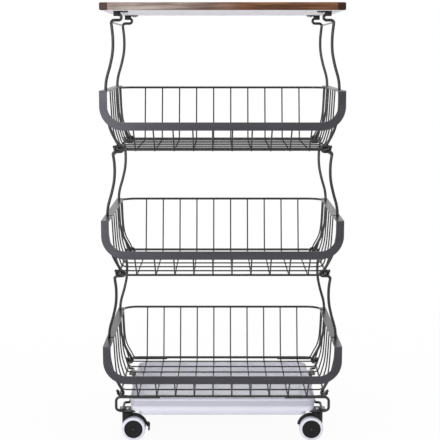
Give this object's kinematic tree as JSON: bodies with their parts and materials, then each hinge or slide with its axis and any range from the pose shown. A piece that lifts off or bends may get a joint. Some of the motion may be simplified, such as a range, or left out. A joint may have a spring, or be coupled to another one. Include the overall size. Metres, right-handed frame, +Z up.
{
  "type": "kitchen rack",
  "caption": "Rolling kitchen rack with stacked wire baskets with flat front bands, a wooden top board, a sliding drip tray and swivel casters.",
  "frame": {"origin": "centre of the bounding box on the floor under the wheels", "axes": "+X to the right seen from the front, +Y towards the back, +Z up; the front bands face -Y"},
  "size_m": [0.43, 0.3482, 0.7995],
  "materials": {
    "steel_wire": "semi-gloss near-black enamel",
    "steel_band": "satin gunmetal enamel",
    "black_plastic": "fine-grained black plastic",
    "pale_tyre": "smooth pale lilac-white tyre",
    "tray_plastic": "milky white plastic",
    "board_wood": "rustic brown board with dark grain streaks",
    "plated_steel": "zinc-plated steel"
  },
  "bodies": {
    "root": {"lower_basket": "steel_wire", "lower_front_band": "steel_band", "middle_basket": "steel_wire", "middle_front_band": "steel_band", "upper_basket": "steel_wire", "upper_front_band": "steel_band", "foot_frame_left": "steel_wire", "foot_frame_right": "steel_wire", "caster_plate_front_left": "steel_wire", "caster_plate_front_right": "steel_wire", "caster_plate_rear_left": "steel_wire", "caster_plate_rear_right": "steel_wire"},
    "board": {"top_board": "board_wood", "board_clip_front_left": "black_plastic", "board_clip_front_right": "black_plastic", "board_clip_rear_left": "black_plastic", "board_clip_rear_right": "black_plastic", "clip_screw_front_left": "plated_steel", "clip_screw_front_right": "plated_steel", "clip_screw_rear_left": "plated_steel", "clip_screw_rear_right": "plated_steel"},
    "tray": {"drip_tray": "tray_plastic"},
    "lower_support_left": {"lower_support_left": "steel_wire"},
    "lower_support_right": {"lower_support_right": "steel_wire"},
    "middle_support_left": {"middle_support_left": "steel_wire"},
    "middle_support_right": {"middle_support_right": "steel_wire"},
    "upper_support_left": {"upper_support_left": "steel_wire"},
    "upper_support_right": {"upper_support_right": "steel_wire"},
    "caster_front_left": {"caster_hood_front_left": "black_plastic", "caster_stem_front_left": "plated_steel", "axle_front_left": "plated_steel"},
    "wheel_front_left_outer": {"tyre_front_left_outer": "pale_tyre", "hub_front_left_outer": "black_plastic"},
    "wheel_front_left_inner": {"tyre_front_left_inner": "pale_tyre", "hub_front_left_inner": "black_plastic"},
    "caster_front_right": {"caster_hood_front_right": "black_plastic", "caster_stem_front_right": "plated_steel", "axle_front_right": "plated_steel"},
    "wheel_front_right_outer": {"tyre_front_right_outer": "pale_tyre", "hub_front_right_outer": "black_plastic"},
    "wheel_front_right_inner": {"tyre_front_right_inner": "pale_tyre", "hub_front_right_inner": "black_plastic"},
    "caster_rear_left": {"caster_hood_rear_left": "black_plastic", "caster_stem_rear_left": "plated_steel", "axle_rear_left": "plated_steel"},
    "wheel_rear_left_outer": {"tyre_rear_left_outer": "pale_tyre", "hub_rear_left_outer": "black_plastic"},
    "wheel_rear_left_inner": {"tyre_rear_left_inner": "pale_tyre", "hub_rear_left_inner": "black_plastic"},
    "caster_rear_right": {"caster_hood_rear_right": "black_plastic", "caster_stem_rear_right": "plated_steel", "axle_rear_right": "plated_steel"},
    "wheel_rear_right_outer": {"tyre_rear_right_outer": "pale_tyre", "hub_rear_right_outer": "black_plastic"},
    "wheel_rear_right_inner": {"tyre_rear_right_inner": "pale_tyre", "hub_rear_right_inner": "black_plastic"},
    "brake_front_left": {"brake_lever_front_left": "black_plastic"},
    "brake_rear_right": {"brake_lever_rear_right": "black_plastic"}
  },
  "joints": [
    {"name": "board_lift", "type": "slide", "parent": "root", "child": "board", "axis": [0, 0, 1], "range_m": [0, 0.15]},
    {"name": "tray_slide", "type": "slide", "parent": "root", "child": "tray", "axis": [0, -1, 0], "range_m": [0, 0.2]},
    {"name": "lower_support_left_fold", "type": "hinge", "parent": "root", "child": "lower_support_left", "pos_m": [-0.19, 0.01087, 0.0846], "axis": [0, 1, 0], "range_deg": [0, 5]},
    {"name": "lower_support_right_fold", "type": "hinge", "parent": "root", "child": "lower_support_right", "pos_m": [0.19, 0.01087, 0.0846], "axis": [0, -1, 0], "range_deg": [0, 5]},
    {"name": "middle_support_left_fold", "type": "hinge", "parent": "root", "child": "middle_support_left", "pos_m": [-0.19, 0.01087, 0.3126], "axis": [0, 1, 0], "range_deg": [0, 5]},
    {"name": "middle_support_right_fold", "type": "hinge", "parent": "root", "child": "middle_support_right", "pos_m": [0.19, 0.01087, 0.3126], "axis": [0, -1, 0], "range_deg": [0, 5]},
    {"name": "upper_support_left_fold", "type": "hinge", "parent": "root", "child": "upper_support_left", "pos_m": [-0.19, 0.01087, 0.5406], "axis": [0, 1, 0], "range_deg": [0, 84]},
    {"name": "upper_support_right_fold", "type": "hinge", "parent": "root", "child": "upper_support_right", "pos_m": [0.19, 0.01087, 0.5406], "axis": [0, -1, 0], "range_deg": [0, 68]},
    {"name": "caster_front_left_swivel", "type": "hinge", "parent": "root", "child": "caster_front_left", "pos_m": [-0.1765, -0.11113, 0.05], "axis": [0, 0, 1], "continuous": true},
    {"name": "wheel_front_left_outer_spin", "type": "hinge", "parent": "caster_front_left", "child": "wheel_front_left_outer", "pos_m": [-0.165, -0.12163, 0.022], "axis": [0, 1, 0], "continuous": true},
    {"name": "wheel_front_left_inner_spin", "type": "hinge", "parent": "caster_front_left", "child": "wheel_front_left_inner", "pos_m": [-0.165, -0.10063, 0.022], "axis": [0, 1, 0], "continuous": true},
    {"name": "caster_front_right_swivel", "type": "hinge", "parent": "root", "child": "caster_front_right", "pos_m": [0.1765, -0.11113, 0.05], "axis": [0, 0, 1], "continuous": true},
    {"name": "wheel_front_right_outer_spin", "type": "hinge", "parent": "caster_front_right", "child": "wheel_front_right_outer", "pos_m": [0.165, -0.12163, 0.022], "axis": [0, 1, 0], "continuous": true},
    {"name": "wheel_front_right_inner_spin", "type": "hinge", "parent": "caster_front_right", "child": "wheel_front_right_inner", "pos_m": [0.165, -0.10063, 0.022], "axis": [0, 1, 0], "continuous": true},
    {"name": "caster_rear_left_swivel", "type": "hinge", "parent": "root", "child": "caster_rear_left", "pos_m": [-0.1765, 0.13287, 0.05], "axis": [0, 0, 1], "continuous": true},
    {"name": "wheel_rear_left_outer_spin", "type": "hinge", "parent": "caster_rear_left", "child": "wheel_rear_left_outer", "pos_m": [-0.165, 0.12237, 0.022], "axis": [0, 1, 0], "continuous": true},
    {"name": "wheel_rear_left_inner_spin", "type": "hinge", "parent": "caster_rear_left", "child": "wheel_rear_left_inner", "pos_m": [-0.165, 0.14337, 0.022], "axis": [0, 1, 0], "continuous": true},
    {"name": "caster_rear_right_swivel", "type": "hinge", "parent": "root", "child": "caster_rear_right", "pos_m": [0.1765, 0.13287, 0.05], "axis": [0, 0, 1], "continuous": true},
    {"name": "wheel_rear_right_outer_spin", "type": "hinge", "parent": "caster_rear_right", "child": "wheel_rear_right_outer", "pos_m": [0.165, 0.12237, 0.022], "axis": [0, 1, 0], "continuous": true},
    {"name": "wheel_rear_right_inner_spin", "type": "hinge", "parent": "caster_rear_right", "child": "wheel_rear_right_inner", "pos_m": [0.165, 0.14337, 0.022], "axis": [0, 1, 0], "continuous": true},
    {"name": "brake_front_left_press", "type": "hinge", "parent": "caster_front_left", "child": "brake_front_left", "pos_m": [-0.13928, -0.11113, 0.027], "axis": [0, 1, 0], "range_deg": [0, 15]},
    {"name": "brake_rear_right_press", "type": "hinge", "parent": "caster_rear_right", "child": "brake_rear_right", "pos_m": [0.13928, 0.13287, 0.027], "axis": [0, -1, 0], "range_deg": [0, 15]}
  ]
}
